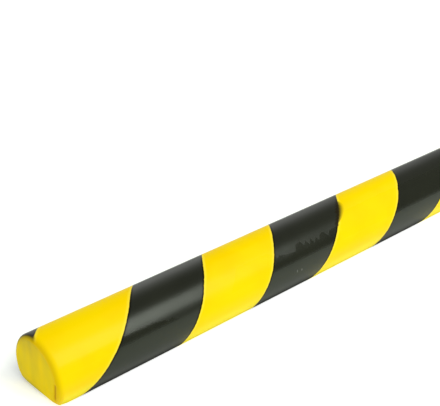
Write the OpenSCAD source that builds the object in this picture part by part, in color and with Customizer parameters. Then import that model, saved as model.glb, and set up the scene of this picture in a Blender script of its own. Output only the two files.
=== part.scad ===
// Impact protection strip: a length of self-skinned polyurethane foam with a round striking face,
// a flat back, and a double-sided tape on that back that is still under its release liner.
// The strip lies on its back along X. Its origin is under its middle, on the liner's lower face.

/* [Foam profile] */
// Length of the foam from end face to end face
profile_length = 1000; // [300:10:1500]
// Widest width, which is the diameter of the round face
profile_width = 40; // [34:1:60]
// Width of the flat back, measured to where its long edges would meet if they were sharp
back_width = 32; // [20:1:32]
// Radius of the rim that runs all round an end face, along the flat back as well
end_rim_radius = 3; // [1:0.5:5]
// Radius of the two long edges where the round face turns into the flat back
back_edge_radius = 1; // [0.5:0.1:1.5]

/* [Adhesive tape] */
// Thickness of the double-sided tape
tape_thickness = 0.8; // [0.4:0.1:2]
// Bare foam between the tape and each long edge of the flat back
tape_side_margin = 3; // [2:0.5:5]
// Bare foam between the tape and where the back starts to turn up into an end face
tape_end_margin = 1; // [0.5:0.5:20]

/* [Release liner] */
// Thickness of the siliconised paper
liner_thickness = 0.12; // [0.08:0.02:0.3]

/* [Hidden] */
$fn = 96;

// How far a cutter stands out of what it cuts
cut_over = 2;
// How far the circle that rounds an edge stands proud of the two faces that it joins. At a true
// touch the surfaces would only graze each other, and this makes them cross cleanly.
edge_proud = 0.002;

face_radius = profile_width / 2;
half_back = back_width / 2;

// Height of the round face's centre above the flat back
centre_above_back = sqrt(face_radius * face_radius - half_back * half_back);

// Stack under the foam: the liner lies on the ground, the tape on the liner, the back on the tape
tape_level = liner_thickness;
back_level = tape_level + tape_thickness;
face_centre_level = back_level + centre_above_back;

tape_length = profile_length - 2 * (end_rim_radius + tape_end_margin);
tape_width = back_width - 2 * tape_side_margin;

// Circle that rounds a long back edge: it touches the back and the round face from inside. Its
// centre is given by its height above the back, its drop below the round face's centre, its reach
// from that centre and its place across the back.
edge_centre_above_back = back_edge_radius - edge_proud;
edge_centre_drop = centre_above_back - edge_centre_above_back;
edge_centre_reach = face_radius - back_edge_radius + edge_proud;
edge_centre_y = sqrt(edge_centre_reach * edge_centre_reach - edge_centre_drop * edge_centre_drop);

// Circle that rounds the lower edge of an end face: its centre along the strip and above the back
foot_centre_x = profile_length / 2 - end_rim_radius + edge_proud;
foot_centre_above_back = end_rim_radius - edge_proud;

// Half of the turned body's outline, with the radius along X and the length along Y. Both ends
// turn in to their face over a quarter circle.
module turned_outline() {
    core_radius = face_radius - end_rim_radius;
    straight_length = profile_length - 2 * end_rim_radius;
    translate([0, -profile_length / 2])
        square([core_radius, profile_length]);
    translate([0, -straight_length / 2])
        square([face_radius, straight_length]);
    for (side = [-1, 1])
        translate([core_radius, side * straight_length / 2])
            intersection() {
                circle(r = end_rim_radius);
                translate([0, min(0, side * end_rim_radius)])
                    square(end_rim_radius);
            }
}

// The foam before its back is cut flat: turned about the line of the round face's centre
module turned_body() {
    translate([0, 0, face_centre_level])
        rotate([0, 90, 0])
            rotate_extrude()
                turned_outline();
}

// Everything below the flat back
module below_back() {
    translate([0, 0, back_level - face_radius])
        cube([profile_length + 2 * cut_over, profile_width + 2 * cut_over, 2 * face_radius],
             center = true);
}

// The corner outside one long back edge. Its flanks run inside the edge's own circle and then
// outside the foam, so the circle is all that shapes the edge.
module back_edge_corner() {
    out_scale = (face_radius + cut_over) / edge_centre_reach;
    out_y = edge_centre_y * out_scale;
    out_above_back = centre_above_back - edge_centre_drop * out_scale;
    translate([-profile_length / 2 - cut_over, 0, back_level])
        rotate([90, 0, 90])
            linear_extrude(height = profile_length + 2 * cut_over)
                difference() {
                    polygon([
                        [edge_centre_y, edge_centre_above_back],
                        [out_y, out_above_back],
                        [out_y, -cut_over],
                        [edge_centre_y, -cut_over]
                    ]);
                    translate([edge_centre_y, edge_centre_above_back])
                        circle(r = back_edge_radius);
                }
}

// The corner outside the lower edge of one end face
module end_foot_corner() {
    corner_side = end_rim_radius + cut_over;
    translate([foot_centre_x, profile_width / 2 + cut_over, back_level + foot_centre_above_back])
        rotate([90, 0, 0])
            linear_extrude(height = profile_width + 2 * cut_over)
                difference() {
                    translate([0, -corner_side])
                        square(corner_side);
                    circle(r = end_rim_radius);
                }
}

module foam_profile() {
    color("#fbe106")
        difference() {
            turned_body();
            below_back();
            for (side = [0, 1]) {
                mirror([0, side, 0])
                    back_edge_corner();
                mirror([side, 0, 0])
                    end_foot_corner();
            }
        }
}

// One layer of the stack under the back: the tape and its liner are cut to the same outline
module tape_layer(level, thickness) {
    translate([-tape_length / 2, -tape_width / 2, level])
        cube([tape_length, tape_width, thickness]);
}

module adhesive_tape() {
    color("#e9e6dc")
        tape_layer(tape_level, tape_thickness);
}

module release_liner() {
    color("#f4efe0")
        tape_layer(0, liner_thickness);
}

foam_profile();
adhesive_tape();
release_liner();
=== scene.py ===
"""Looks of an impact protection strip: a length of yellow and black foam profile, self-skinned in its
mould, with a double-sided tape and a release liner on its flat back.

The strip lies on its back along X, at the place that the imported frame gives. Sizes in the classes are
millimetres, as on the drawing, and MM turns them to Blender's metres.
"""

import logging
import math
import random
from collections.abc import Callable, Iterable
from dataclasses import dataclass, field
from enum import Enum

import bmesh
import bpy
import numpy as np
from mathutils import Matrix, Vector, noise


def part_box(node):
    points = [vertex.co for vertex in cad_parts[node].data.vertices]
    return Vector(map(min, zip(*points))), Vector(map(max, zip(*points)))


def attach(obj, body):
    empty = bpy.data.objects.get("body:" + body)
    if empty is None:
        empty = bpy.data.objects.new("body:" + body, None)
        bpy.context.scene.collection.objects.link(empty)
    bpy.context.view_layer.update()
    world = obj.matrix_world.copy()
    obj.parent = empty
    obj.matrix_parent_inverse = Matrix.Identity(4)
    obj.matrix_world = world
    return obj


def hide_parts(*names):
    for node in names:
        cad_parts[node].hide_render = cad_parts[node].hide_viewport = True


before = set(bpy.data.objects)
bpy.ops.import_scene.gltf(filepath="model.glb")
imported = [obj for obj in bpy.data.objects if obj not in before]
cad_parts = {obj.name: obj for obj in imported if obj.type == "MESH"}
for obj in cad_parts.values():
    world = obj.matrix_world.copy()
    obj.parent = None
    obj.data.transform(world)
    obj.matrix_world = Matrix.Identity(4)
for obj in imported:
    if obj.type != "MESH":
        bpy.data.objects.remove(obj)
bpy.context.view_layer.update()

log = logging.getLogger("impact_protection_strip")

MM = 0.001
# How near two points of a mesh are one, and how near a cut takes a point along, in mm
SAME_PLACE = 0.001
ON_CUT = 0.005
# How far a selection by place looks past the place itself, in mm
SLACK = 0.01
# From what share of a length an edge counts as running all along it
WHOLE_WAY = 0.9
# From what share of its normal along an axis a face counts as facing that way
FACING = 0.999
# How far a piece's faces turn before they show an edge, in radians
SMOOTH_TURN = math.radians(40)
Colour = tuple[float, float, float, float]


class Node(Enum):
    """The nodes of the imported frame, by the piece that each one is."""

    FOAM = "foam_profile"
    TAPE = "adhesive_tape"
    LINER = "release_liner"


class Slot(Enum):
    """The material slots of the part's record."""

    SKIN = "foam_skin"
    TAPE = "tape"
    LINER = "liner"


class Painted(Enum):
    """The numbers that FoamProfile paints on its mesh and MouldedSkin reads there."""

    BAND = "band_mm"
    BACK = "back_mm"
    HAZE = "haze_mm"
    SPRAY = "spray"
    THIN_COAT = "thin_coat"
    DUST = "dust"
    YELLOW_SHEEN = "yellow_sheen"


class Pick(Enum):
    """What a selection in edit mode picks: Blender's select mode and the list that holds it."""

    EDGES = ("EDGE", "edges")
    FACES = ("FACE", "faces")


class MixSocket(Enum):
    """Numbers of the colour sockets on a Mix node, which has several of the same name."""

    FACTOR = 0
    UNDER = 6
    OVER = 7
    RESULT = 2


def linear(hex_code: str) -> Colour:
    """Turns an sRGB hex colour into Blender's linear colour.

    Args:
        hex_code: the colour as #rrggbb.

    Returns:
        Red, green, blue and an alpha of 1.
    """
    steps = [int(hex_code[i : i + 2], 16) / 255 for i in (1, 3, 5)]
    red, green, blue = (
        s / 12.92 if s <= 0.04045 else ((s + 0.055) / 1.055) ** 2.4 for s in steps
    )
    return red, green, blue, 1.0


def add_node(
    tree: bpy.types.NodeTree,
    kind: str,
    inputs: dict[str | int, object] | list[object] | None = None,
    **settings: object,
) -> bpy.types.Node:
    """Adds one node, sets it up and fills its inputs.

    Args:
        tree: the node tree that gets the node.
        kind: Blender's name for the type of node.
        inputs: what goes into each input, by its name or number, or as a list in their order: an
            output socket, a node, of which the first output is meant, or a plain value.
        settings: values of the node's own settings, by their names.

    Returns:
        The new node.
    """
    node = tree.nodes.new(kind)
    for name, value in settings.items():
        setattr(node, name, value)
    wanted = dict(enumerate(inputs)) if isinstance(inputs, list) else inputs or {}
    for name, value in wanted.items():
        source = value.outputs[0] if isinstance(value, bpy.types.Node) else value
        if isinstance(source, bpy.types.NodeSocket):
            tree.links.new(source, node.inputs[name])
        else:
            node.inputs[name].default_value = source
    return node


def lay_coats(
    tree: bpy.types.NodeTree, ground: object, coats: Iterable[tuple[object, object]]
) -> bpy.types.NodeSocket:
    """Lays coats of colour over a ground, one after another.

    Args:
        tree: the node tree.
        ground: the colour below them all, as a hex code or a socket.
        coats: for each coat its colour, as a hex code or a socket, and what says how much of it
            shows, from 0 to 1.

    Returns:
        The socket with the colour that shows in the end.
    """
    top = ground
    for colour, cover in coats:
        under, over = (linear(c) if isinstance(c, str) else c for c in (top, colour))
        sockets = {
            MixSocket.FACTOR.value: cover,
            MixSocket.UNDER.value: under,
            MixSocket.OVER.value: over,
        }
        node = add_node(tree, "ShaderNodeMix", sockets, data_type="RGBA")
        top = node.outputs[MixSocket.RESULT.value]
    return top


def new_material(name: str) -> bpy.types.Material:
    """Makes a node material with nothing in it.

    Args:
        name: the material's name.

    Returns:
        The material.
    """
    material = bpy.data.materials.new(name)
    material.use_nodes = True
    material.node_tree.nodes.clear()
    return material


def close_material(material: bpy.types.Material, surface: dict[str, object]) -> bpy.types.Material:
    """Ends a material in one Principled shader.

    Args:
        material: the material.
        surface: what goes into each input of the shader, by its name.

    Returns:
        The same material.
    """
    shader = add_node(material.node_tree, "ShaderNodeBsdfPrincipled", surface)
    add_node(material.node_tree, "ShaderNodeOutputMaterial", {"Surface": shader})
    return material


def millimetre_coordinates(tree: bpy.types.NodeTree) -> bpy.types.Node:
    """Gives the place on a piece in millimetres, from its Object coordinates.

    Args:
        tree: the node tree.

    Returns:
        The node with the vector.
    """
    place = add_node(tree, "ShaderNodeTexCoord").outputs["Object"]
    return add_node(
        tree, "ShaderNodeVectorMath", {"Vector": place, "Scale": 1 / MM}, operation="SCALE"
    )


@dataclass(frozen=True)
class EllipseMark:
    """A soft oval mark on the skin, laid out on the unrolled surface.

    Attributes:
        along: its centre from the near end, in mm.
        around: its centre round the section from the crown, in mm, negative on the front.
        half_length: half of its size along the strip, in mm.
        half_height: half of its size round the section, in mm.
        core: how far out it is full, as a share of its size.
    """

    along: float
    around: float
    half_length: float
    half_height: float
    core: float = 0.4

    def cover(self, tree: bpy.types.NodeTree, unrolled: bpy.types.NodeSocket) -> bpy.types.Node:
        """Adds the nodes that say how much of the mark shows at a place.

        Args:
            tree: the node tree.
            unrolled: the place on the unrolled surface, in mm.

        Returns:
            The node with the cover, from 0 to 1.
        """
        centre = (self.along, self.around, 0)
        shrink = (1 / self.half_length, 1 / self.half_height, 0)
        centred = add_node(tree, "ShaderNodeVectorMath", [unrolled, centre], operation="SUBTRACT")
        shaped = add_node(tree, "ShaderNodeVectorMath", [centred, shrink], operation="MULTIPLY")
        reach = add_node(tree, "ShaderNodeVectorMath", [shaped], operation="LENGTH")
        return add_node(
            tree,
            "ShaderNodeMapRange",
            [reach.outputs["Value"], 1.0, self.core, 0.0, 1.0],
            interpolation_type="SMOOTHSTEP",
        )


@dataclass(frozen=True)
class BandEdge:
    """The line where the two colours of the coat meet, laid by hand round the strip.

    Attributes:
        at_crown: where it crosses the crown, in mm from the near end.
        lean: how far it runs along the strip for each mm round the section.
        bow: how much it curves, in mm along the strip for each square mm round the section.
    """

    at_crown: float
    lean: float
    bow: float = 0.0

    def distance(self, along: np.ndarray, around: np.ndarray) -> np.ndarray:
        """Measures how far places lie past the line.

        Args:
            along: the places along the strip, in mm from the near end.
            around: the places round the section, in mm from the crown.

        Returns:
            The distances in mm, positive on the side of the far end.
        """
        line = self.at_crown + self.lean * around + self.bow * around**2
        steepness = self.lean + 2 * self.bow * around
        return (along - line) / np.sqrt(1 + steepness**2)


@dataclass(frozen=True)
class YellowBand:
    """One yellow band, from the edge where it starts to the edge where it ends."""

    start: BandEdge
    finish: BandEdge

    def distance(self, along: np.ndarray, around: np.ndarray) -> np.ndarray:
        """Measures how deep inside the band places lie, in mm, negative outside it."""
        return np.minimum(
            self.start.distance(along, around), -self.finish.distance(along, around)
        )


@dataclass(frozen=True)
class BandLayout:
    """All the yellow bands of the strip.

    The first bands are where the photograph shows them. The rest follow at the same spacing, with the
    small differences that come from masking by hand.

    Attributes:
        pitch: the usual distance from band to band, in mm.
        width: the usual width of a band along the strip, in mm.
        lean: the usual lean of a band's edges.
        place_error: how far a hand-laid edge misses its place, in mm.
        lean_error: how much a hand-laid edge's lean is off.
        seed: where the random differences start.
        shown: the bands that the photograph shows, and the one that it cuts off.
        next_start: where the next band starts at the crown, in mm from the near end.
    """

    pitch: float = 107.0
    width: float = 56.0
    lean: float = 0.86
    place_error: float = 2.0
    lean_error: float = 0.07
    seed: int = 12
    shown: tuple[YellowBand, ...] = (
        YellowBand(BandEdge(0.4, 0.86), BandEdge(58.9, 0.889, -0.0028)),
        YellowBand(BandEdge(108.4, 0.764, 0.0014), BandEdge(160.9, 0.758, 0.0014)),
        YellowBand(BandEdge(218.2, 0.963, 0.0016), BandEdge(273.85, 0.849, -0.001)),
        YellowBand(BandEdge(326.2, 0.945), BandEdge(380.6, 0.87)),
    )
    next_start: float = 431.0

    def bands(self, length: float) -> list[YellowBand]:
        """Lists the bands over a whole strip.

        Args:
            length: the strip's length, in mm.

        Returns:
            The bands, from the near end to the far end.
        """
        hand = random.Random(self.seed)
        found = list(self.shown)
        start = self.next_start
        while start < length + self.pitch / 2:
            lean = self.lean + hand.uniform(-self.lean_error, self.lean_error)
            edges = [
                BandEdge(
                    place + hand.uniform(-self.place_error, self.place_error),
                    lean + hand.uniform(-self.lean_error, self.lean_error) / 2,
                )
                for place in (start, start + self.width)
            ]
            found.append(YellowBand(*edges))
            start += self.pitch
        return found

    def distance(self, along: np.ndarray, around: np.ndarray, length: float) -> np.ndarray:
        """Measures how deep inside the nearest yellow band places lie, in mm."""
        each = [band.distance(along, around) for band in self.bands(length)]
        return np.max(each, axis=0)


class SkinReading:
    """What the skin's finish reads at each place of the body, as sockets of its node tree.

    Attributes:
        tree: the node tree.
        place: the place in mm.
        unrolled: the place on the unrolled surface, in mm: along the strip and round its section.
        around: the second of those alone.
        painted: the numbers that FoamProfile paints on its mesh.
    """

    def __init__(self, tree: bpy.types.NodeTree) -> None:
        """Adds the nodes that read.

        Args:
            tree: the node tree.
        """
        self.tree = tree
        self.place = millimetre_coordinates(tree)
        unrolled = add_node(tree, "ShaderNodeAttribute", attribute_name="unrolled")
        self.unrolled = unrolled.outputs["Vector"]
        self.around = add_node(tree, "ShaderNodeSeparateXYZ", [self.unrolled]).outputs["Y"]
        self.painted = {
            each: add_node(tree, "ShaderNodeAttribute", attribute_name=each.value).outputs["Fac"]
            for each in Painted
        }

    def wavered(self, value: object, size: float, reach: float) -> bpy.types.Node:
        """Lets a value waver with the place.

        Args:
            value: the value, as a socket or a node.
            size: the size of the waves, in mm.
            reach: how far they reach to both sides in all.

        Returns:
            The node with the new value.
        """
        waves = {"Vector": self.place, "Scale": 1 / size, "Detail": 2.0}
        centred = [add_node(self.tree, "ShaderNodeTexNoise", waves), reach, -reach / 2]
        shift = add_node(self.tree, "ShaderNodeMath", centred, operation="MULTIPLY_ADD")
        return add_node(self.tree, "ShaderNodeMath", [value, shift], operation="ADD")


@dataclass(frozen=True)
class MouldedSkin:
    """Integral skin of polyurethane foam, with a two-colour coat that was sprayed into the mould.

    The coat is satin: the mould's wall gives it a soft sheen with a faint peel, and the yellow is
    so full a colour that even its reflections look yellow.

    Attributes:
        yellow: the coat's yellow.
        deep_yellow: the same coat where it lies thicker.
        bounce_lit_yellow: a paler yellow painted low on the flanks, as light thrown up by the floor.
        bounce_lit_from: from how far round from the crown to how far that painted light comes in, in
            mm.
        black: the coat's black, which is a warm dark grey.
        soot: the same black where it lies thicker.
        cloud_size: the size of the clouds in which the coat lies thicker, in mm.
        cloud_rise: from what level of those clouds to what level the thicker coat comes in.
        bare_skin: the skin of the back, where no coat was sprayed.
        dust: the dust in the end faces' skin, and the painted contact shade along their foot.
        ochre: the thin coat along the rims, and the painted shade in the crease.
        speck: the pale dust of the two specks.
        spray: the black's overspray on the yellow.
        ridge_light: the yellow beside the masked edge, where it was brushed up to the tape.
        ridge_dark: the black beside the masked edge.
        light_line: from how deep inside the yellow to how deep its line comes in, in mm.
        light_cover: how much of that line shows.
        dark_line: from how deep inside the yellow to how deep the black's line comes in, in mm.
        black_sheen: the specular level of the black.
        turned_sheen: the same where the black is seen from the side.
        turned: from how far turned away to how far that level comes in, where 1 is edge on.
        ridge_sheen: the specular level of the dark line beside the masked edge.
        dry_sheen: the specular level of the black where it fell dry, as overspray.
        black_tint: the tint of the black's sheen.
        yellow_tint: the tint of the yellow's sheen.
        ior: the skin's index of refraction, as is usual for polyurethane.
        matt_roughness: how rough the skin is where the mould released it dull.
        glossy_roughness: how rough it is where it came out smooth.
        glossy_low: how far down it stays smooth, in mm round from the crown.
        roughness_waves: the size in mm and the reach of the roughness's unevenness.
        haze_waves: the size and the reach of the waves in the haze's ragged line, in mm.
        haze_softness: half of the width over which the haze begins, in mm.
        peel_size: size of the skin's fine peel, in mm.
        peel_depth: depth of the skin's fine peel, in mm.
        edge_softness: half of the width over which the colours meet, in mm.
        edge_waves: sizes and reaches of the waves in the hand-laid edges, in mm.
        back_wrap: how far the coat reaches in under the back, in mm.
        wrap_waves: the size and the reach of the waves in its edge there, in mm.
        wrap_softness: half of the width over which it ends there, in mm.
        specks: the two pale specks.
    """

    yellow: str = "#f9d900"
    deep_yellow: str = "#f8d300"
    bounce_lit_yellow: str = "#fae600"
    bounce_lit_from: tuple[float, float] = (33.0, 40.0)
    black: str = "#1a1c0f"
    soot: str = "#16180b"
    cloud_size: float = 24.0
    cloud_rise: tuple[float, float] = (0.35, 0.7)
    bare_skin: str = "#3b3c36"
    dust: str = "#90923c"
    ochre: str = "#c08a08"
    speck: str = "#5f6159"
    spray: str = "#231d08"
    ridge_light: str = "#ffe640"
    ridge_dark: str = "#0c0b03"
    light_line: tuple[float, float] = (1.8, 0.45)
    light_cover: float = 0.6
    dark_line: tuple[float, float] = (-1.35, -0.45)
    black_sheen: float = 0.53
    turned_sheen: float = 0.08
    turned: tuple[float, float] = (0.56, 0.8)
    ridge_sheen: float = 0.15
    dry_sheen: float = 0.15
    black_tint: str = "#f6fff0"
    yellow_tint: str = "#ffffff"
    ior: float = 1.5
    matt_roughness: float = 0.31
    glossy_roughness: float = 0.19
    glossy_low: tuple[float, float] = (-21.0, -26.5)
    roughness_waves: tuple[float, float] = (9.0, 0.06)
    haze_waves: tuple[float, float] = (2.4, 1.7)
    haze_softness: float = 0.5
    peel_size: float = 1.3
    peel_depth: float = 0.02
    edge_softness: float = 0.16
    edge_waves: tuple[tuple[float, float], ...] = ((14.0, 0.9), (1.6, 0.45))
    back_wrap: float = 1.6
    wrap_waves: tuple[float, float] = (5.0, 1.6)
    wrap_softness: float = 0.5
    specks: tuple[EllipseMark, ...] = (
        EllipseMark(163.0, -30.2, 0.5, 1.2),
        EllipseMark(166.7, -30.6, 0.6, 1.0),
    )

    def material(self) -> bpy.types.Material:
        """Builds the material.

        Returns:
            The material, which reads the attributes that FoamProfile paints on its mesh.
        """
        material = new_material("moulded_polyurethane_skin")
        skin = SkinReading(material.node_tree)
        depth: object = skin.painted[Painted.BAND]
        for size, reach in self.edge_waves:
            depth = skin.wavered(depth, size, reach)
        is_yellow = add_node(
            skin.tree,
            "ShaderNodeMapRange",
            [depth, -self.edge_softness, self.edge_softness, 0.0, 1.0],
            interpolation_type="SMOOTHSTEP",
        )
        pimples = {"Vector": skin.place, "Scale": 1 / self.peel_size, "Detail": 3.0}
        peel = {
            "Height": add_node(skin.tree, "ShaderNodeTexNoise", pimples),
            "Distance": self.peel_depth * MM,
        }
        surface = {
            "Base Color": self._colour(skin, depth, is_yellow),
            "Specular IOR Level": self._sheen(skin, depth, is_yellow),
            "Specular Tint": lay_coats(skin.tree, self.black_tint, [(self.yellow_tint, is_yellow)]),
            "Roughness": self._roughness(skin),
            "Normal": add_node(skin.tree, "ShaderNodeBump", peel),
            "IOR": self.ior,
        }
        return close_material(material, surface)

    def _colour(
        self, skin: SkinReading, depth: bpy.types.Node, is_yellow: bpy.types.Node
    ) -> bpy.types.NodeSocket:
        """Lays all the colours over one another, from the black coat up to the dirt and painted shade.

        Each colour of the coat has faint clouds and a line along the masked edge, and the yellow a
        paler painted bounce light low on its flanks. The black's overspray and the pale specks lie on
        them, then the thin coat of the rims and the painted shade of the crease, the dust of the ends
        with the painted contact shade along their foot, and the back, which has no coat.

        Args:
            skin: what the finish reads.
            depth: the depth inside the yellow, in mm.
            is_yellow: the share of yellow.

        Returns:
            The socket with the skin's colour.
        """
        tree = skin.tree
        clouds = {"Vector": skin.place, "Scale": 1 / self.cloud_size, "Detail": 3.0}
        from_crown = add_node(tree, "ShaderNodeMath", [skin.around], operation="ABSOLUTE")
        under_back = skin.wavered(skin.painted[Painted.BACK], *self.wrap_waves)
        wrap_end = (self.back_wrap - self.wrap_softness, self.back_wrap + self.wrap_softness)
        cloudy, bounce_lit, light, dark, bare = (
            add_node(
                tree,
                "ShaderNodeMapRange",
                [value, *rise, 0.0, full],
                interpolation_type="SMOOTHSTEP",
            )
            for value, rise, full in (
                (add_node(tree, "ShaderNodeTexNoise", clouds), self.cloud_rise, 1.0),
                # painted bounce light: a paler yellow low on the flanks, where the floor throws light
                # up
                (from_crown, self.bounce_lit_from, 1.0),
                (depth, self.light_line, self.light_cover),
                (depth, self.dark_line, 1.0),
                (under_back, wrap_end, 1.0),
            )
        )
        yellow = lay_coats(
            tree,
            self.yellow,
            [(self.deep_yellow, cloudy), (self.bounce_lit_yellow, bounce_lit), (self.ridge_light, light)],
        )
        black = lay_coats(tree, self.black, [(self.soot, cloudy), (self.ridge_dark, dark)])
        specks = [(self.speck, speck.cover(tree, skin.unrolled)) for speck in self.specks]
        coats = [
            (yellow, is_yellow),
            (self.spray, skin.painted[Painted.SPRAY]),
            *specks,
            # ochre: the rims' thin coat, and painted shade in the crease
            (self.ochre, skin.painted[Painted.THIN_COAT]),
            # dust on the ends, and painted contact shade along their foot
            (self.dust, skin.painted[Painted.DUST]),
            (self.bare_skin, bare),
        ]
        return lay_coats(tree, black, coats)

    def _sheen(
        self, skin: SkinReading, depth: bpy.types.Node, is_yellow: bpy.types.Node
    ) -> bpy.types.Node:
        """Gives the black its sheen, and the yellow the weaker one that is painted on the mesh.

        Args:
            skin: what the finish reads.
            depth: the depth inside the yellow, in mm.
            is_yellow: the share of yellow.

        Returns:
            The node with the specular level.
        """
        facing = add_node(skin.tree, "ShaderNodeLayerWeight").outputs["Facing"]
        spray = skin.painted[Painted.SPRAY]
        yellow_sheen = skin.painted[Painted.YELLOW_SHEEN]
        level: object = self.black_sheen
        for value, rise, sheen, way in (
            (facing, self.turned, self.turned_sheen, "SMOOTHSTEP"),
            (spray, (0.0, 1.0), self.dry_sheen, "LINEAR"),
            (depth, self.dark_line, self.ridge_sheen, "SMOOTHSTEP"),
            (is_yellow, (0.0, 1.0), yellow_sheen, "LINEAR"),
        ):
            inputs = [value, *rise, level, sheen]
            level = add_node(skin.tree, "ShaderNodeMapRange", inputs, interpolation_type=way)
        return level

    def _roughness(self, skin: SkinReading) -> bpy.types.Node:
        """Makes the skin matt, and smoother in a strip just below the haze's ragged line.

        Args:
            skin: what the finish reads.

        Returns:
            The node with the roughness.
        """
        above = skin.wavered(skin.painted[Painted.HAZE], *self.haze_waves)
        begins = (-self.haze_softness, self.haze_softness)
        covers = [
            add_node(
                skin.tree,
                "ShaderNodeMapRange",
                [value, *rise, 0.0, 1.0],
                interpolation_type="SMOOTHSTEP",
            )
            for value, rise in ((above, begins), (skin.around, self.glossy_low))
        ]
        is_matt = add_node(skin.tree, "ShaderNodeMath", covers, operation="MAXIMUM")
        levels = [is_matt, 0.0, 1.0, self.glossy_roughness, self.matt_roughness]
        level = add_node(skin.tree, "ShaderNodeMapRange", levels)
        return skin.wavered(level, *self.roughness_waves)


@dataclass(frozen=True)
class AcrylicFoamTape:
    """Closed-cell acrylic foam tape: off-white and dull, with fine pores along its cut sides.

    Attributes:
        foam: the tape's off-white.
        pores: the painted shade inside its pores.
        pore_size: the size of its pores, in mm, drawn coarser than the real 0.05 so that they show.
        pore_depth: their depth, in mm.
        roughness: how rough it is.
    """

    foam: str = "#e9e6dc"
    pores: str = "#cfcabb"
    pore_size: float = 0.3
    pore_depth: float = 0.04
    roughness: float = 0.75

    def material(self) -> bpy.types.Material:
        """Builds the material.

        Returns:
            The material, which reads the place on the piece.
        """
        material = new_material("acrylic_foam_tape")
        tree = material.node_tree
        inputs = {"Vector": millimetre_coordinates(tree), "Scale": 1 / self.pore_size}
        pores = add_node(tree, "ShaderNodeTexVoronoi", inputs)
        relief = {"Height": pores, "Distance": self.pore_depth * MM}
        surface = {
            # the darker pores are painted shade in their hollows
            "Base Color": lay_coats(tree, self.pores, [(self.foam, pores)]),
            "Normal": add_node(tree, "ShaderNodeBump", relief),
            "Roughness": self.roughness,
        }
        return close_material(material, surface)


@dataclass(frozen=True)
class SiliconisedPaper:
    """Glassine release paper: cream and faintly cloudy, with the soft gloss of its silicone coat.

    Attributes:
        paper: the paper's cream.
        clouds: the same paper where its fibres lie thicker.
        cloud_size: the size of its clouds, in mm.
        fibre_size: the width of its fibres, in mm, drawn coarser than the real 0.03 so that they show.
        fibre_length: how many times as long as wide the fibres are.
        fibre_depth: the depth between them, in mm.
        roughness: how rough the paper is.
    """

    paper: str = "#f1ead6"
    clouds: str = "#e6dcc0"
    cloud_size: float = 7.0
    fibre_size: float = 0.5
    fibre_length: float = 10.0
    fibre_depth: float = 0.02
    roughness: float = 0.42

    def material(self) -> bpy.types.Material:
        """Builds the material.

        Returns:
            The material, which reads the place on the piece.
        """
        material = new_material("siliconised_release_paper")
        tree = material.node_tree
        place = millimetre_coordinates(tree)
        stretch = {"Vector": place, "Scale": (1 / self.fibre_length, 1.0, 1.0)}
        stretched = add_node(tree, "ShaderNodeMapping", stretch)
        clouds, fibres = (
            add_node(
                tree,
                "ShaderNodeTexNoise",
                {"Vector": where, "Scale": 1 / size, "Detail": detail},
            )
            for where, size, detail in (
                (place, self.cloud_size, 4.0),
                (stretched, self.fibre_size, 2.0),
            )
        )
        relief = {"Height": fibres, "Distance": self.fibre_depth * MM}
        surface = {
            "Base Color": lay_coats(tree, self.paper, [(self.clouds, clouds)]),
            "Normal": add_node(tree, "ShaderNodeBump", relief),
            "Roughness": self.roughness,
        }
        return close_material(material, surface)


def box_of(node: Node) -> tuple[Vector, Vector]:
    """Finds the lowest and the highest corner of a node of the frame, in mm."""
    low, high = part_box(node.value)
    return low / MM, high / MM


def finish_piece(obj: bpy.types.Object, material: bpy.types.Material, node: Node) -> None:
    """Dresses a new piece and puts it in place of its node.

    Args:
        obj: the piece.
        material: its finish.
        node: the frame's node that the piece stands for.
    """
    obj.data.materials.clear()
    obj.data.materials.append(material)
    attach(obj, "root")
    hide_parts(node.value)


def pick(obj: bpy.types.Object, what: Pick, test: Callable[[list[Vector], Vector], bool]) -> int:
    """Selects edges or faces of a mesh in edit mode by their place.

    Args:
        obj: the object in edit mode.
        what: edges or faces.
        test: takes the corners in mm and a face's normal, or a zero vector for an edge, and says
            whether the edge or face is wanted.

    Returns:
        How many were selected.
    """
    mode, group = what.value
    bpy.ops.mesh.select_mode(type=mode)
    bpy.ops.mesh.select_all(action="DESELECT")
    mesh = bmesh.from_edit_mesh(obj.data)
    count = 0
    for item in getattr(mesh, group):
        normal = item.normal if what is Pick.FACES else Vector()
        if test([v.co / MM for v in item.verts], normal):
            item.select_set(True)
            count += 1
    mesh.select_flush_mode()
    bmesh.update_edit_mesh(obj.data)
    return count


@dataclass(frozen=True)
class Ramp:
    """A share that grows evenly from nothing at one place to full at another.

    Attributes:
        nothing: where it is 0.
        full: where it is 1.
    """

    nothing: float
    full: float

    def at(self, values: np.ndarray) -> np.ndarray:
        """Gives the share at each of the places, from 0 to 1."""
        return np.clip((values - self.nothing) / (self.full - self.nothing), 0, 1)


@dataclass(frozen=True)
class Mound:
    """A share that is highest at one place and sinks softly to both sides.

    Attributes:
        centre: where it is highest.
        width: how far from there it has sunk to about a third.
        height: its height.
    """

    centre: float
    width: float
    height: float

    def at(self, values: np.ndarray) -> np.ndarray:
        """Gives the share at each of the places, from 0 to the height."""
        return self.height * np.exp(-(((values - self.centre) / self.width) ** 2))


@dataclass(frozen=True)
class SkinPlaces:
    """Where the points of the body's skin lie, one number of each kind for a point, in mm.

    Attributes:
        x: the place along the strip from its middle.
        y: the place across it, negative on the front.
        z: the height.
        along: the place along the strip from its near end.
        around: the way round the section from the crown, negative on the front.
        past_rim: how far it is past the start of the rim, along the strip.
        over_rim: the same, measured on the skin.
        on_end: how much of the way over the rim lies behind it, from 0 to 1 on the end face.
        laid: how deep inside the masked yellow it lies, negative in the black.
    """

    x: np.ndarray
    y: np.ndarray
    z: np.ndarray
    along: np.ndarray
    around: np.ndarray
    past_rim: np.ndarray
    over_rim: np.ndarray
    on_end: np.ndarray
    laid: np.ndarray


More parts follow.
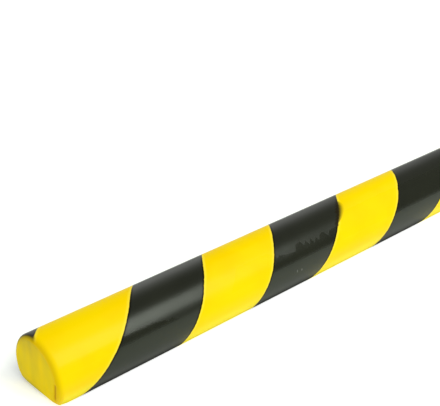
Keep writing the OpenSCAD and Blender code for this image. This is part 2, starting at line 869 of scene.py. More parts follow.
@dataclass(frozen=True)
class Overspray:
    """The black that fell softly over the yellow: on the rims, and past one band's masked edge.

    Attributes:
        creep: how far the black crept past the masked edges on a rim, in mm.
        creep_rise: over which way past the rim's start it comes to that, in mm.
        edge_softness: the way over which it fades there, in mm.
        comes_in: over which way past the rim's start the black counts at all, in mm.
        rim_fade: where on the rim it ends and up to where it is full, in mm past the start.
        rim_power: how quickly it fades there.
        middle: the place (along, around) of the overspray past the band's edge, in mm.
        half_length: how far from there along the strip that overspray is looked for, in mm.
        half_height: half of its height round the section, in mm.
        tail: how far round the section its last trace reaches, in multiples of that half.
        reach: how far it reaches over the band's edge, in mm.
        least_reach: the share of that reach at its upper and lower end.
        under_edge: how far it begins inside the black, in mm.
    """

    creep: float = 0.8
    creep_rise: Ramp = Ramp(0.0, 1.5)
    edge_softness: float = 1.2
    comes_in: Ramp = Ramp(-6.0, -2.0)
    rim_fade: Ramp = Ramp(5.3, 1.6)
    rim_power: float = 1.5
    middle: tuple[float, float] = (213.5, -7.8)
    half_length: float = 12.0
    half_height: float = 7.2
    tail: float = 1.1
    reach: float = 4.4
    least_reach: float = 0.05
    under_edge: float = 1.6

    def share(self, at: SkinPlaces) -> np.ndarray:
        """Says how much of the black fell on the yellow.

        Args:
            at: the places on the skin.

        Returns:
            The share of black at each of them.
        """
        past_edge = self.creep * self.creep_rise.at(at.over_rim)
        in_black = np.clip((past_edge - at.laid) / self.edge_softness, 0, 1)
        fade = self.rim_fade.at(at.over_rim) ** self.rim_power
        on_rim = in_black * self.comes_in.at(at.over_rim) * fade
        middle_along, middle_around = self.middle
        height = np.abs(at.around - middle_around) / self.half_height
        reach = self.reach * np.clip(1 - height**2, self.least_reach, 1)
        share = np.clip(1 - at.laid / reach, 0, 1)
        eased = share**2 * (3 - 2 * share)
        near = np.abs(at.along - middle_along) < self.half_length
        near &= (at.laid > -self.under_edge) & (height < self.tail)
        past_band = np.where(near, eased, 0)
        return np.clip(np.maximum(on_rim, past_band), 0, 1)


@dataclass(frozen=True)
class EndDustAndShade:
    """Dust in the skin of the end faces, in clouds and upright streaks over the face, and darker
    towards one side and the top and up on the rim there; with painted contact shade along the foot.

    Attributes:
        side: over which way across it grows towards one side, in mm.
        top: over which heights it grows towards the top, in mm.
        onto_rim: how far it reaches onto the rim at the top of that side, in mm.
        cloud_size: the size of its clouds, in mm.
        cloud_height: how many times as high as wide they are.
        cloud_steps: how strongly each finer layer of the clouds counts less, how much finer it is,
            and how many there are.
        least: the share of dust that lies everywhere.
        in_clouds: how much more lies in the clouds.
        streaks: the upright streaks, by their place across in mm.
        at_side: how much darker it gets at the side.
        at_top: how much darker it gets at the top.
        in_corner: how much darker still where the two meet.
        most: the most that lies anywhere but along the foot.
        foot_shade_height: over which heights the painted shade along the foot grows downwards, in mm.
        foot_shade_power: how quickly it does.
        foot_shade_across: over which way across it comes in, in mm.
        foot_shade_most: the share of painted shade along the foot.
    """

    side: Ramp = Ramp(-6.0, 14.0)
    top: Ramp = Ramp(20.0, 30.0)
    onto_rim: float = 2.2
    cloud_size: float = 7.0
    cloud_height: float = 3.0
    cloud_steps: tuple[float, float, int] = (0.9, 2.0, 2)
    least: float = 0.07
    in_clouds: float = 0.12
    streaks: tuple[Mound, ...] = (Mound(3.5, 1.8, 0.1), Mound(-7.0, 1.5, 0.07))
    at_side: float = 0.14
    at_top: float = 0.14
    in_corner: float = 0.15
    most: float = 0.55
    foot_shade_height: Ramp = Ramp(7.0, 2.5)
    foot_shade_power: float = 1.5
    foot_shade_across: Ramp = Ramp(-8.0, 1.0)
    foot_shade_most: float = 0.7

    def share(self, at: SkinPlaces, rim_way: float) -> np.ndarray:
        """Says how much dust has settled, and how much contact shade is painted along the foot.

        Args:
            at: the places on the skin.
            rim_way: the way over a rim, from the round face to the end face, in mm.

        Returns:
            The share of dust and painted shade at each of them.
        """
        side, top = self.side.at(at.y), self.top.at(at.z)
        on_face = np.clip(at.over_rim - rim_way + self.onto_rim * side * top, 0, 1)
        clouds = [
            noise.fractal(Vector((x, y, z / self.cloud_height)) / self.cloud_size, *self.cloud_steps)
            if shows > 0
            else 0
            for x, y, z, shows in zip(at.x, at.y, at.z, on_face)
        ]
        share = self.least + self.in_clouds * np.array(clouds)
        share += sum(streak.at(at.y) for streak in self.streaks)
        share += self.at_side * side + self.at_top * top + self.in_corner * side * top
        # painted contact shade along the foot of the end face, darkest at the bottom
        foot = self.foot_shade_height.at(at.z) ** self.foot_shade_power * self.foot_shade_across.at(at.y)
        return on_face * np.maximum(np.clip(share, 0, self.most), self.foot_shade_most * foot)


@dataclass
class FoamProfile:
    """The strip's body: a round face on a flat back, closed at both ends, all in one skin.

    Attributes:
        length: its length, in mm.
        back_level: the height of its flat back, in mm.
        layout: where its coat is yellow.
        overspray: where the black fell over the yellow.
        end_dust_and_shade: where dust has settled on the ends, with painted contact shade along their
            foot.
        finish: the finish of its skin.
        face_radius: the radius of the round face, in mm.
        half_back: half of the back's width, in mm.
        end_rim_radius: the radius of the rim round each end face, in mm.
        edge_trim: how far the rounding of a long back edge reaches into each face, in mm.
        tape_margin: the bare back between the tape and each long edge, in mm.
        facets: how many flats the round face has over a full turn.
        rim_segments: how many flats its rims have, from the round face to the end face.
        edge_segments: how many flats a long back edge has.
        foot_cuts: how many flats the rim has along the back, between the back and the end face.
        ring_spacing: the rows of the mesh along the strip, in mm.
        coarse_rows: how many rows the first of two divisions makes.
        end_rings: the steps inwards of the rings on an end face, in mm, with how many there are.
        ripple_size: the size of the soft waves in the skin, in mm.
        ripple_depth: their depth, in mm.
        end_dent_size: the size of the dents in an end face, in mm.
        end_dent_depth: their depth, in mm.
        end_dent_shift: how far across from the waves' pattern theirs is taken, in mm.
        crease_low: the lower end of the crease in the near end's face, as (y, z) in mm.
        crease_high: its upper end.
        crease_half_width: half of the crease's width, in mm.
        crease_depth: its depth, in mm.
        corner_inside: how far past the rim's start and above the back a softened corner has its
            middle, in mm.
        corner_reach: how far from there the softened corners reach, in mm.
        corner_depth: how far a corner is pressed in, in mm.
        coat_over_rim: how far the bands run on over a rim before the plain yellow of the end, in mm.
        skirt: up to how far above the back's level the skin counts as back, in mm.
        off_back: the number that stands for a place that isn't on the back.
        haze_line: points (along, around) of the ragged lower edge of the skin's dull haze, in mm.
        haze_usual: where that edge usually lies, in mm round from the crown.
        thin_front: over which way across the coat of the rims thins towards the front, in mm.
        thin_rim: how thin it is there, by the way from the rim's inner edge, in mm.
        crease_shade: how much painted shade lies in the crease.
        yellow_sheen: points (around in mm, specular level) of the yellow's sheen, which is nothing
            over the crown and strongest near the back.
        end_sheen: the specular level of the yellow on the end faces.
    """

    length: float
    back_level: float
    layout: BandLayout = field(default_factory=BandLayout)
    overspray: Overspray = field(default_factory=Overspray)
    end_dust_and_shade: EndDustAndShade = field(default_factory=EndDustAndShade)
    finish: MouldedSkin = field(default_factory=MouldedSkin)
    face_radius: float = 20.0
    half_back: float = 16.0
    end_rim_radius: float = 3.0
    edge_trim: float = 0.5
    tape_margin: float = 3.0
    facets: int = 136
    rim_segments: int = 8
    edge_segments: int = 4
    foot_cuts: int = 8
    ring_spacing: float = 2.0
    coarse_rows: int = 7
    end_rings: tuple[tuple[float, int], ...] = ((0.35, 8), (1.8, 7))
    ripple_size: float = 9.0
    ripple_depth: float = 0.05
    end_dent_size: float = 9.0
    end_dent_depth: float = 0.16
    end_dent_shift: float = 40.0
    crease_low: tuple[float, float] = (-15.1, 6.0)
    crease_high: tuple[float, float] = (-16.3, 14.2)
    crease_half_width: float = 0.85
    crease_depth: float = 0.45
    corner_inside: float = 1.0
    corner_reach: float = 4.0
    corner_depth: float = 0.7
    coat_over_rim: float = 1.6
    skirt: float = 0.3
    off_back: float = -3.0
    haze_line: tuple[tuple[float, float], ...] = (
        (50, -19.5), (62, -20.2), (64, -21.4), (66, -20.8), (69, -22.8), (71, -21.8), (77, -24.8),
        (112, -24.8), (122, -13), (146, -13), (151, -17.5), (154, -16.8), (156, -17.5),
        (159, -18.1), (163, -18.8), (165, -19.2), (167, -15.4), (169, -15.2), (171, -14.4),
        (173, -17.9), (175, -15.2), (177, -18.8), (179, -15.2), (181, -19), (183, -16.2),
        (185, -18.8), (187, -15.8), (189, -15), (191, -15.8), (193, -18.6), (195, -16.4),
        (198, -15.8), (205, -16), (215, -9), (330, -9), (345, -19.5),
    )
    haze_usual: float = -19.5
    thin_front: Ramp = Ramp(6.0, -2.0)
    thin_rim: Mound = Mound(-0.8, 1.9, 0.28)
    crease_shade: float = 0.9
    yellow_sheen: tuple[tuple[float, float], ...] = (
        (-38, 0.18), (-33, 0.1), (-28, 0.03), (-24, 0.04), (-20, 0.09), (-12, 0.09), (-8, 0.06),
        (-3, 0.004), (6, 0.01), (18, 0.01), (26, 0.05), (38, 0.18),
    )
    end_sheen: float = 0.02

    @property
    def centre_level(self) -> float:
        """The height of the round face's centre, in mm."""
        return self.back_level + math.sqrt(self.face_radius**2 - self.half_back**2)

    @property
    def half_length(self) -> float:
        """Half of the strip's length, in mm."""
        return self.length / 2

    @property
    def rim_start(self) -> float:
        """Where the rims start to turn in, in mm from the middle."""
        return self.half_length - self.end_rim_radius

    @property
    def end_radius(self) -> float:
        """The radius of an end face, inside its rim, in mm."""
        return self.face_radius - self.end_rim_radius

    @property
    def rim_way(self) -> float:
        """The way over a rim, from the round face to the end face, in mm."""
        return self.end_rim_radius * math.pi / 2

    def build(self) -> bpy.types.Object:
        """Models the body and paints its attributes.

        Returns:
            The finished mesh object, in place.
        """
        body = self._turned_body()
        self._round_rims(body)
        self._cut_back()
        self._round_feet()
        self._divide_back(body)
        self._divide_feet(body)
        self._round_back_edges(body)
        self._ring_the_length(body)
        self._ring_the_ends(body)
        bpy.ops.mesh.select_all(action="SELECT")
        bpy.ops.mesh.remove_doubles(threshold=SAME_PLACE * MM)
        bpy.ops.mesh.normals_make_consistent(inside=False)
        bpy.ops.object.mode_set(mode="OBJECT")
        self._sculpt(body)
        self._paint(body)
        bpy.ops.object.shade_smooth_by_angle(angle=SMOOTH_TURN)
        return body

    def dress(self, body: bpy.types.Object) -> None:
        """Gives the body its skin and puts it in place of its node."""
        finish_piece(body, self.finish.material(), Node.FOAM)

    def _turned_body(self) -> bpy.types.Object:
        """Starts from a plain round bar along X and opens it for editing.

        Returns:
            The mesh object, open for editing.
        """
        bpy.ops.object.select_all(action="DESELECT")
        bpy.ops.mesh.primitive_cylinder_add(
            vertices=self.facets,
            radius=self.face_radius * MM,
            depth=self.length * MM,
            end_fill_type="NGON",
            location=(0, 0, self.centre_level * MM),
            rotation=(0, math.pi / 2, 0),
        )
        bpy.ops.object.transform_apply(location=True, rotation=True, scale=True)
        body = bpy.context.object
        body.name = "moulded_foam_profile"
        bpy.ops.object.mode_set(mode="EDIT")
        return body

    def _round_rims(self, body: bpy.types.Object) -> None:
        """Turns the rim of both ends in over a quarter circle.

        Args:
            body: the mesh object, open for editing.
        """
        end = self.half_length - SLACK
        pick(body, Pick.EDGES, lambda ends, _: abs(ends[0].x + ends[1].x) > 2 * end)
        bpy.ops.mesh.bevel(
            offset=self.end_rim_radius * MM,
            segments=self.rim_segments,
            profile=0.5,
            affect="EDGES",
        )

    def _cut_back(self) -> None:
        """Cuts the bar flat at the level of its back."""
        bpy.ops.mesh.select_all(action="SELECT")
        bpy.ops.mesh.bisect(
            plane_co=(0, 0, self.back_level * MM),
            plane_no=(0, 0, 1),
            use_fill=True,
            clear_inner=True,
            threshold=SAME_PLACE * MM,
        )

    def _round_feet(self) -> None:
        """Carries the rim of each end on along the back, with cuts that touch its quarter circle."""
        radius = self.end_rim_radius
        for side in (-1, 1):
            centre = Vector((side * self.rim_start, 0, self.back_level + radius))
            for step in range(1, self.foot_cuts + 1):
                turn = math.pi / 2 * step / (self.foot_cuts + 1)
                outward = Vector((side * math.cos(turn), 0, -math.sin(turn)))
                bpy.ops.mesh.select_all(action="SELECT")
                bpy.ops.mesh.bisect(
                    plane_co=(centre + radius * outward) * MM,
                    plane_no=outward,
                    use_fill=True,
                    clear_outer=True,
                    threshold=SAME_PLACE * MM,
                )

    def _divide_back(self, body: bpy.types.Object) -> None:
        """Splits the back where the rims start, and along both sides of the tape.

        Args:
            body: the mesh object, open for editing.
        """
        beside_tape = self.half_back - self.tape_margin
        cuts = [(Vector((side * self.rim_start, 0, 0)), (1, 0, 0)) for side in (-1, 1)]
        cuts += [(Vector((0, side * beside_tape, 0)), (0, 1, 0)) for side in (-1, 1)]
        for place, direction in cuts:
            pick(body, Pick.FACES, lambda _, normal: normal.z < SLACK - 1)
            bpy.ops.mesh.bisect(plane_co=place * MM, plane_no=direction, threshold=ON_CUT * MM)

    def _divide_feet(self, body: bpy.types.Object) -> None:
        """Splits the rims along the back into short pieces, so the end faces' rings are even.

        Args:
            body: the mesh object, open for editing.
        """

        def on_foot(corners: list[Vector], normal: Vector) -> bool:
            """Says whether a face belongs to a rim along the back."""
            turned_down = normal.z < -5 * SLACK and abs(normal.y) < SLACK
            return turned_down and all(abs(v.x) > self.rim_start - SLACK for v in corners)

        half_count = int(self.half_back / self.ring_spacing)
        for step in range(1 - half_count, half_count):
            pick(body, Pick.FACES, on_foot)
            place = Vector((0, step * self.ring_spacing, 0))
            bpy.ops.mesh.bisect(plane_co=place * MM, plane_no=(0, 1, 0), threshold=ON_CUT * MM)

    def _round_back_edges(self, body: bpy.types.Object) -> None:
        """Rounds the two long edges of the back, between the rims.

        Args:
            body: the mesh object, open for editing.
        """

        def on_long_edge(ends: list[Vector], _: Vector) -> bool:
            """Says whether an edge is one of the back's two long ones."""
            return all(
                abs(v.z - self.back_level) < SLACK
                and abs(abs(v.y) - self.half_back) < 5 * SLACK
                and abs(v.x) < self.rim_start + SLACK
                for v in ends
            )

        found = pick(body, Pick.EDGES, on_long_edge)
        log.info("long back edges to round: %d", found)
        bpy.ops.mesh.bevel(
            offset=self.edge_trim * MM,
            segments=self.edge_segments,
            profile=0.5,
            affect="EDGES",
            clamp_overlap=False,
        )

    def _ring_the_length(self, body: bpy.types.Object) -> None:
        """Divides the long faces into short rows, in two passes.

        Args:
            body: the mesh object, open for editing.
        """
        rows = round(2 * self.rim_start / self.ring_spacing)
        passes = (
            (self.coarse_rows, self.length),
            (round(rows / self.coarse_rows), self.length / self.coarse_rows),
        )
        for parts, longest in passes:
            least = WHOLE_WAY * longest
            pick(
                body,
                Pick.EDGES,
                lambda ends, _, least=least: abs(ends[0].x - ends[1].x) > least,
            )
            bpy.ops.mesh.subdivide(number_cuts=parts - 1)

    def _ring_the_ends(self, body: bpy.types.Object) -> None:
        """Gives each end face rings, close together near its rim and wider further in.

        Args:
            body: the mesh object, open for editing.
        """
        for side in (-1, 1):
            pick(body, Pick.FACES, lambda _, normal, side=side: normal.x * side > FACING)
            radius = self.end_radius
            for step, count in self.end_rings:
                for _ in range(count):
                    shrink = (radius - step) / radius
                    radius -= step
                    bpy.ops.mesh.extrude_region_move()
                    bpy.ops.transform.resize(
                        value=(1, shrink, shrink),
                        center_override=(side * self.half_length * MM, 0, self.centre_level * MM),
                    )

    def _sculpt(self, body: bpy.types.Object) -> None:
        """Moves the skin in a little: soft waves, dents in the ends and the crease at the near end.

        Args:
            body: the mesh object.
        """
        mesh = body.data
        count = len(mesh.vertices)
        places = np.empty(count * 3)
        normals = np.empty(count * 3)
        mesh.vertices.foreach_get("co", places)
        mesh.vertices.foreach_get("normal", normals)
        places = places.reshape(-1, 3) / MM
        normals = normals.reshape(-1, 3)
        on_end = np.clip((np.abs(places[:, 0]) - self.rim_start) / self.end_rim_radius, 0, 1)
        on_back = places[:, 2] < self.back_level + 5 * SLACK
        depths = np.empty(count)
        for i, (x, y, z) in enumerate(places):
            wave = noise.noise(Vector((x, y, z)) / self.ripple_size)
            dent = noise.noise(Vector((x, y + self.end_dent_shift, z)) / self.end_dent_size)
            depths[i] = (
                self.ripple_depth * (1 - wave) / 2
                + on_end[i] ** 2 * self.end_dent_depth * (1 - dent) / 2
            )
        depths[on_back & (on_end < 1)] = 0
        depths += self._crease(places) + self._corners(places)
        places -= normals * depths[:, None]
        mesh.vertices.foreach_set("co", (places * MM).ravel())
        mesh.update()

    def _crease(self, places: np.ndarray) -> np.ndarray:
        """Gives the depth of the upright crease in the near end's face.

        Args:
            places: the vertices, in mm.

        Returns:
            The depth at each vertex, in mm.
        """
        low, high = np.array(self.crease_low), np.array(self.crease_high)
        from_low = places[:, 1:] - low
        share = np.clip(from_low @ (high - low) / ((high - low) @ (high - low)), 0, 1)
        reach = np.linalg.norm(from_low - share[:, None] * (high - low), axis=1)
        depth = self.crease_depth * np.exp(-((reach / self.crease_half_width) ** 2))
        return np.where(places[:, 0] < -self.rim_start, depth, 0)

    def _corners(self, places: np.ndarray) -> np.ndarray:
        """Gives how far the four corners of the back are softened.

        Args:
            places: the vertices, in mm.

        Returns:
            The depth at each vertex, in mm.
        """
        inside = self.corner_inside
        corner = (self.rim_start + inside, self.half_back, self.back_level + inside)
        reach = np.linalg.norm(np.abs(places) - corner, axis=1) / self.corner_reach
        return self.corner_depth * np.exp(-2 * reach**2)

    def _places(self, mesh: bpy.types.Mesh) -> SkinPlaces:
        """Measures where the vertices lie on the skin.

        Args:
            mesh: the body's mesh.

        Returns:
            Their places.
        """
        raw = np.empty(len(mesh.vertices) * 3)
        mesh.vertices.foreach_get("co", raw)
        x, y, z = (raw.reshape(-1, 3) / MM).T
        up = z - self.centre_level
        around = self.face_radius * np.arctan2(y, up)
        along = x + self.half_length
        past_rim = np.abs(x) - self.rim_start
        out = np.hypot(y, up) - self.end_radius
        # On the rim the way is an arc, and on the end face it runs straight in. Before the rim it is
        # the way along the strip.
        arc = self.end_rim_radius * np.arctan2(past_rim, out)
        over_rim = np.where(out > 0, arc, self.rim_way - out)
        over_rim = np.where(past_rim > 0, over_rim, past_rim)
        on_end = np.clip(over_rim / self.rim_way, 0, 1)
        laid = self.layout.distance(along, around, self.length)
        return SkinPlaces(x, y, z, along, around, past_rim, over_rim, on_end, laid)

    def _paint(self, body: bpy.types.Object) -> None:
        """Writes the attributes that the skin's material reads.

        Args:
            body: the mesh object.
        """
        mesh = body.data
        at = self._places(mesh)
        on_face = at.around * (1 - at.on_end)
        from_outline = np.minimum(self.half_back - np.abs(at.y), -at.past_rim)
        on_back = at.z < self.back_level + self.skirt
        painted = {
            Painted.BAND: np.maximum(at.laid, at.over_rim - self.coat_over_rim),
            Painted.BACK: np.where(on_back, from_outline, self.off_back),
            Painted.HAZE: self._above_haze_line(at.along, on_face),
            Painted.SPRAY: self.overspray.share(at),
            Painted.THIN_COAT: self._thin_coat(at),
            Painted.DUST: self.end_dust_and_shade.share(at, self.rim_way),
            Painted.YELLOW_SHEEN: self._level_of_yellow(at),
        }
        for each, values in painted.items():
            attribute = mesh.attributes.new(each.value, "FLOAT", "POINT")
            attribute.data.foreach_set("value", values.astype(np.float32))
        unrolled = np.stack([at.along, on_face, at.over_rim], axis=1)
        attribute = mesh.attributes.new("unrolled", "FLOAT_VECTOR", "POINT")
        attribute.data.foreach_set("vector", unrolled.astype(np.float32).ravel())

    def _above_haze_line(self, along: np.ndarray, around: np.ndarray) -> np.ndarray:
        """Gives how far places lie above the lower edge of the haze.

        Args:
            along: the places along the strip, in mm from the near end.
            around: the places round the section, in mm from the crown.

        Returns:
            The distances in mm, negative below the edge.
        """
        ways, heights = zip(*self.haze_line)
        usual = self.haze_usual
        return around - np.interp(along, ways, heights, left=usual, right=usual)

    def _thin_coat(self, at: SkinPlaces) -> np.ndarray:
        """Says where the coat is thin inside the rims, and where shade is painted in the crease.

        Args:
            at: the places on the skin.

        Returns:
            The share of ochre at each of them.
        """
        rim = self.thin_front.at(at.y) * self.thin_rim.at(at.over_rim - self.rim_way)
        # painted shade in the crease, following its depth
        crease = self._crease(np.stack([at.x, at.y, at.z], axis=1)) / self.crease_depth
        return np.clip(np.maximum(rim, self.crease_shade * crease), 0, 1)

    def _level_of_yellow(self, at: SkinPlaces) -> np.ndarray:
        """Gives the yellow's specular level.

        Args:
            at: the places on the skin.

        Returns:
            The level at each of them.
        """
        ways, levels = zip(*self.yellow_sheen)
        level = np.interp(at.around, ways, levels)
        return level + (self.end_sheen - level) * at.on_end


@dataclass
class BackingLayer:
    """A flat layer under the strip's back, cut from a roll: the tape or its release liner.

    Attributes:
        name: the piece's name.
        low: its lowest corner, in mm.
        high: its highest corner, in mm.
        finish: its finish.
        slot: the record's slot that the finish belongs to; not used.
        node: the frame's node that it stands for.
        row_spacing: the rows of its mesh along the strip, in mm.
        columns: its parts across.
        layers: its parts in the thickness.
        wander: how far the cut sides wander in, in mm.
        wander_size: the length of that wandering, in mm.
        wander_apart: how far apart in the noise the opposite sides take theirs.
        waist: how far the middle of the cut sides is drawn in, in mm.
    """

    name: str
    low: Vector
    high: Vector
    finish: AcrylicFoamTape | SiliconisedPaper
    slot: Slot
    node: Node
    row_spacing: float = 4.0
    columns: int = 8
    layers: int = 1
    wander: float = 0.25
    wander_size: float = 35.0
    wander_apart: float = 9.0
    waist: float = 0.0

    def build(self) -> bpy.types.Object:
        """Models the layer.

        Returns:
            The finished mesh object, in place.
        """
        size = self.high - self.low
        bpy.ops.object.select_all(action="DESELECT")
        bpy.ops.mesh.primitive_cube_add(size=1, location=(self.low + self.high) / 2 * MM)
        layer = bpy.context.object
        layer.name = self.name
        layer.scale = size * MM
        bpy.ops.object.transform_apply(location=True, rotation=True, scale=True)
        bpy.ops.object.mode_set(mode="EDIT")
        parts = (round(size.x / self.row_spacing), self.columns, self.layers)
        for axis, count in enumerate(parts):
            self._divide(layer, axis, size[axis], count)
        bpy.ops.object.mode_set(mode="OBJECT")
        self._cut_by_hand(layer)
        bpy.ops.object.shade_smooth_by_angle(angle=SMOOTH_TURN)
        return layer

    def dress(self, layer: bpy.types.Object) -> None:
        """Gives the layer its finish and puts it in place of its node."""
        finish_piece(layer, self.finish.material(), self.node)

    def _divide(self, layer: bpy.types.Object, axis: int, length: float, count: int) -> None:
        """Divides all the edges along one axis.

        Args:
            layer: the object in edit mode.
            axis: the axis, as 0, 1 or 2.
            length: the edges' length, in mm.
            count: how many parts each gets.
        """
        if count > 1:
            least = WHOLE_WAY * length
            pick(layer, Pick.EDGES, lambda ends, _: abs((ends[0] - ends[1])[axis]) > least)
            bpy.ops.mesh.subdivide(number_cuts=count - 1)

    def _cut_by_hand(self, layer: bpy.types.Object) -> None:
        """Lets the cut sides wander in a little, as a slitter's do, and draws in their middle.

        Args:
            layer: the object.
        """
        middle = (self.low + self.high) / 2
        half = (self.high - self.low) / 2
        for vertex in layer.data.vertices:
            place = vertex.co / MM - middle
            bulge = 1 - (place.z / half.z) ** 2
            for axis, other in ((0, 1), (1, 0)):
                if abs(place[axis]) > half[axis] - SLACK:
                    apart = math.copysign(self.wander_apart, place[axis])
                    wave = noise.noise(Vector((place[other] / self.wander_size, apart, 0)))
                    inward = self.wander * (1 + wave) / 2 + self.waist * bulge
                    place[axis] -= math.copysign(inward, place[axis])
            vertex.co = (place + middle) * MM
        layer.data.update()


@dataclass(frozen=True)
class PhotoCamera:
    """The camera at the photograph's viewing angle.

    Attributes:
        aim: the point that it looks at, in mm.
        heading: the direction that it looks in, in degrees from +X towards +Y.
        drop: how far it looks down, in degrees.
        roll: how far it is turned about its own axis, in degrees.
        distance: its distance from the aim, in mm.
        lens: its focal length, in mm.
        sensor: the width of its sensor, in mm.
    """

    aim: tuple[float, float, float] = (-293.7, 92.88, 0.92)
    heading: float = 47.45
    drop: float = 26.79
    roll: float = 0.14
    distance: float = 668.6
    lens: float = 80.46
    sensor: float = 36.0

    def place(self) -> bpy.types.Object:
        """Adds the camera and makes it the scene's.

        Returns:
            The camera object.
        """
        heading, drop, roll = map(math.radians, (self.heading, self.drop, self.roll))
        forward = Vector(
            (
                math.cos(heading) * math.cos(drop),
                math.sin(heading) * math.cos(drop),
                -math.sin(drop),
            )
        )
        level = Vector((math.sin(heading), -math.cos(heading), 0))
        upright = level.cross(forward)
        right = level * math.cos(roll) + upright * math.sin(roll)
        up = right.cross(forward)
        data = bpy.data.cameras.new("photo_camera")
        data.sensor_width = self.sensor
        data.lens = self.lens
        camera = bpy.data.objects.new("photo_camera", data)
        bpy.context.scene.collection.objects.link(camera)
        turn = Matrix((right, up, -forward)).transposed().to_4x4()
        where = Vector(self.aim) - forward * self.distance
        camera.matrix_world = Matrix.Translation(where * MM) @ turn
        bpy.context.scene.camera = camera
        return camera


@dataclass(frozen=True)
class Softbox:
    """A wide soft lamp over the front of the strip, level with it along X.

    Attributes:
        centre: where its middle is, in mm.
        target: the point that it shines at, in mm.
        width: its size along X, in mm.
        height: its size across, in mm.
        power: its power, in watts.
    """

    centre: tuple[float, float, float] = (140.0, -820.0, 890.0)
    target: tuple[float, float, float] = (140.0, 0.0, 20.0)
    width: float = 640.0
    height: float = 820.0
    power: float = 7.4

    def place(self) -> bpy.types.Object:
        """Adds the lamp.

        Returns:
            The lamp object.
        """
        data = bpy.data.lights.new("softbox", "AREA")
        data.shape = "RECTANGLE"
        data.size = self.width * MM
        data.size_y = self.height * MM
        data.energy = self.power
        lamp = bpy.data.objects.new("softbox", data)
        bpy.context.scene.collection.objects.link(lamp)
        lamp.location = Vector(self.centre) * MM
        aim = Vector(self.target) - Vector(self.centre)
        lamp.rotation_euler = aim.to_track_quat("-Z", "Y").to_euler()
        return lamp


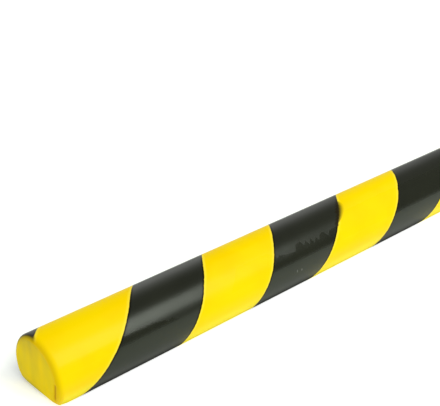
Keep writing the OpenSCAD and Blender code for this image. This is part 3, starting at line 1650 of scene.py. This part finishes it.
@dataclass(frozen=True)
class Studio:
    """The plain pale floor and the light of the room round it.

    Attributes:
        floor_size: the floor's side, in mm.
        floor_drop: how far it lies below the strip, in mm.
        floor_colour: its paint.
        reflected_shadow_colour: the painted contact shadow that the floor shows in reflections near the
            strip.
        seen_lift: how much whiter it shows to the camera than it is lit.
        seen_contact: how near the strip keeps it dark there, in mm.
        seen_power: how strongly it does.
        open_towards: the side that it has to be open to, as a direction of length 1.
        shade_across: from how far in front (negative y) to how far behind the shade grows, in mm.
        shade_share: how much of the shade shows at those two places.
        bounce_lift: how much more light it gives back than it gets.
        mirrored_lift: how much whiter it shows in reflections than it is lit.
        mirrored_contact: how near to the strip it darkens in reflections, in mm.
        mirrored_power: how strongly it does.
        sheet: how near a face must lie to the floor to be lit through it, in mm.
        room_light: the light that the whole room gives.
        room_colour: its colour.
        backdrop_sheen: the white backdrop behind the strip, as its skin mirrors it.
        backdrop_edge: how far a direction points to the back where the backdrop comes in, and where
            it is full.
        room_sheen: the rest of the room, as the strip's skin mirrors it.
    """

    floor_size: float = 8000.0
    floor_drop: float = 0.05
    floor_colour: str = "#ecf1ea"
    reflected_shadow_colour: str = "#000000"
    seen_lift: float = 0.75
    seen_contact: float = 48.0
    seen_power: float = 3.0
    open_towards: tuple[float, float, float] = (-0.2, -0.92, 0.337)
    shade_across: tuple[float, float] = (-20.0, 25.0)
    shade_share: tuple[float, float] = (0.15, 1.12)
    bounce_lift: float = 0.15
    mirrored_lift: float = 0.1
    mirrored_contact: float = 2.5
    mirrored_power: float = 2.0
    sheet: float = 1.5
    room_light: float = 0.79
    room_colour: str = "#ffffff"
    backdrop_sheen: float = 0.9
    backdrop_edge: tuple[float, float] = (0.35, 0.95)
    room_sheen: float = 0.22

    def place(self) -> bpy.types.Object:
        """Adds the floor and sets the world.

        Returns:
            The floor object.
        """
        self._light_the_room()
        bpy.ops.object.select_all(action="DESELECT")
        bpy.ops.mesh.primitive_plane_add(
            size=self.floor_size * MM, location=(0, 0, -self.floor_drop * MM)
        )
        floor = bpy.context.object
        floor.name = "studio_floor"
        floor.data.materials.append(self._floor_material())
        return floor

    def _openness(
        self,
        tree: bpy.types.NodeTree,
        reach: float,
        power: float,
        towards: tuple[float, float, float] = (0.0, 0.0, 1.0),
    ) -> bpy.types.Node:
        """Says how open the floor is to the room, from 0 under the strip to 1.

        Args:
            tree: the node tree.
            reach: how far away the strip still counts, in mm.
            power: how strongly it counts.
            towards: the direction that counts most, of length 1.

        Returns:
            The node with the openness.
        """
        direction = add_node(tree, "ShaderNodeCombineXYZ", list(towards))
        inputs = {"Distance": reach * MM, "Normal": direction}
        openness = add_node(tree, "ShaderNodeAmbientOcclusion", inputs).outputs["AO"]
        return add_node(tree, "ShaderNodeMath", [openness, power], operation="POWER")

    def _seen_through(self, tree: bpy.types.NodeTree) -> bpy.types.Node:
        """Says where the floor is clear: from below, and for the light of what lies flat on it.

        Args:
            tree: the node tree.

        Returns:
            The node with the share that is clear, 0 or 1.
        """
        path = add_node(tree, "ShaderNodeLightPath").outputs
        below = add_node(tree, "ShaderNodeNewGeometry").outputs["Backfacing"]
        clear: object = path["Ray Length"]
        for value, operation in (
            (self.sheet * MM, "LESS_THAN"),
            (path["Is Diffuse Ray"], "MULTIPLY"),
            (below, "MAXIMUM"),
        ):
            clear = add_node(tree, "ShaderNodeMath", [clear, value], operation=operation)
        return clear

    def _unshaded(self, tree: bpy.types.NodeTree) -> bpy.types.Node:
        """Says how clear of the strip's shade the floor shows, which lies behind the strip.

        Args:
            tree: the node tree.

        Returns:
            The node with the share, from 0 in the shade to 1.
        """
        openness = self._openness(tree, self.seen_contact, self.seen_power, self.open_towards)
        shade = add_node(tree, "ShaderNodeMath", [1.0, openness], operation="SUBTRACT")
        place = add_node(tree, "ShaderNodeSeparateXYZ", [millimetre_coordinates(tree)])
        across = [place.outputs["Y"], *self.shade_across, *self.shade_share]
        share = add_node(tree, "ShaderNodeMapRange", across)
        shown: object = add_node(tree, "ShaderNodeMath", [shade, share], operation="MULTIPLY")
        shown = add_node(tree, "ShaderNodeMath", [shown, 1.0], operation="MINIMUM")
        return add_node(tree, "ShaderNodeMath", [1.0, shown], operation="SUBTRACT")

    def _floor_material(self) -> bpy.types.Material:
        """Builds the floor's matt white paint, which is clear from below.

        Returns:
            The material.
        """
        material = new_material("studio_floor_paint")
        tree = material.node_tree
        path = add_node(tree, "ShaderNodeLightPath").outputs
        mirrored = path["Is Glossy Ray"]
        clear_of_strip = self._openness(tree, self.mirrored_contact, self.mirrored_power)
        hidden = add_node(tree, "ShaderNodeMath", [1.0, clear_of_strip], operation="SUBTRACT")
        shade = add_node(tree, "ShaderNodeMath", [hidden, mirrored], operation="MULTIPLY")
        # painted contact shadow: black in reflections of the floor where the strip hides it
        colour = lay_coats(tree, self.floor_colour, [(self.reflected_shadow_colour, shade)])
        paint = add_node(tree, "ShaderNodeBsdfDiffuse", {"Color": colour})
        looks = [path["Is Camera Ray"], path["Is Transmission Ray"]]
        seen = add_node(tree, "ShaderNodeMath", looks, operation="MAXIMUM")
        bounce = [path["Is Diffuse Ray"], self.bounce_lift]
        lift = add_node(tree, "ShaderNodeMath", bounce, operation="MULTIPLY")
        for openness, rays, most in (
            (self._unshaded(tree), seen, self.seen_lift),
            (clear_of_strip, mirrored, self.mirrored_lift),
        ):
            shows = add_node(tree, "ShaderNodeMath", [openness, rays], operation="MULTIPLY")
            sum_up = [shows, most, lift]
            lift = add_node(tree, "ShaderNodeMath", sum_up, operation="MULTIPLY_ADD")
        glow = add_node(tree, "ShaderNodeEmission", {"Strength": lift})
        white = add_node(tree, "ShaderNodeAddShader", [paint, glow])
        clear = add_node(tree, "ShaderNodeBsdfTransparent")
        sides = add_node(tree, "ShaderNodeMixShader", [self._seen_through(tree), white, clear])
        add_node(tree, "ShaderNodeOutputMaterial", {"Surface": sides})
        return material

    def _light_the_room(self) -> None:
        """Sets a world that lights evenly and is white where it is seen.

        In the strip's sheen it is a dim room with a white backdrop behind the strip.
        """
        world = bpy.data.worlds.new("studio_room")
        bpy.context.scene.world = world
        world.use_nodes = True
        tree = world.node_tree
        tree.nodes.clear()
        direction = add_node(tree, "ShaderNodeTexCoord").outputs["Generated"]
        backwards = add_node(tree, "ShaderNodeSeparateXYZ", [direction]).outputs["Y"]
        sheen = add_node(
            tree,
            "ShaderNodeMapRange",
            [backwards, *self.backdrop_edge, self.room_sheen, self.backdrop_sheen],
            interpolation_type="SMOOTHSTEP",
        )
        path = add_node(tree, "ShaderNodeLightPath").outputs
        strength: object = self.room_light
        for ray, seen in (("Is Glossy Ray", sheen), ("Is Camera Ray", 1.0)):
            inputs = {"Factor": path[ray], "A": strength, "B": seen}
            strength = add_node(tree, "ShaderNodeMix", inputs, data_type="FLOAT")
        light = {"Color": linear(self.room_colour), "Strength": strength}
        room = add_node(tree, "ShaderNodeBackground", light)
        add_node(tree, "ShaderNodeOutputWorld", {"Surface": room})


def main() -> None:
    """Builds the studio and the strip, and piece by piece."""
    logging.basicConfig(level=logging.INFO, format="%(name)s: %(message)s")
    bpy.context.scene.view_settings.view_transform = "Standard"
    PhotoCamera().place()
    Softbox().place()
    Studio().place()
    low, high = box_of(Node.FOAM)
    tape, liner = box_of(Node.TAPE), box_of(Node.LINER)
    pieces = (
        FoamProfile(length=high.x - low.x, back_level=low.z),
        BackingLayer(
            "acrylic_foam_tape", *tape, AcrylicFoamTape(), Slot.TAPE, Node.TAPE, layers=3, waist=0.12
        ),
        BackingLayer("siliconised_liner", *liner, SiliconisedPaper(), Slot.LINER, Node.LINER),
    )
    for piece in pieces:
        made = piece.build()
        piece.dress(made)
        log.info("%s: %d faces", made.name, len(made.data.polygons))


if __name__ == "__main__":
    main()
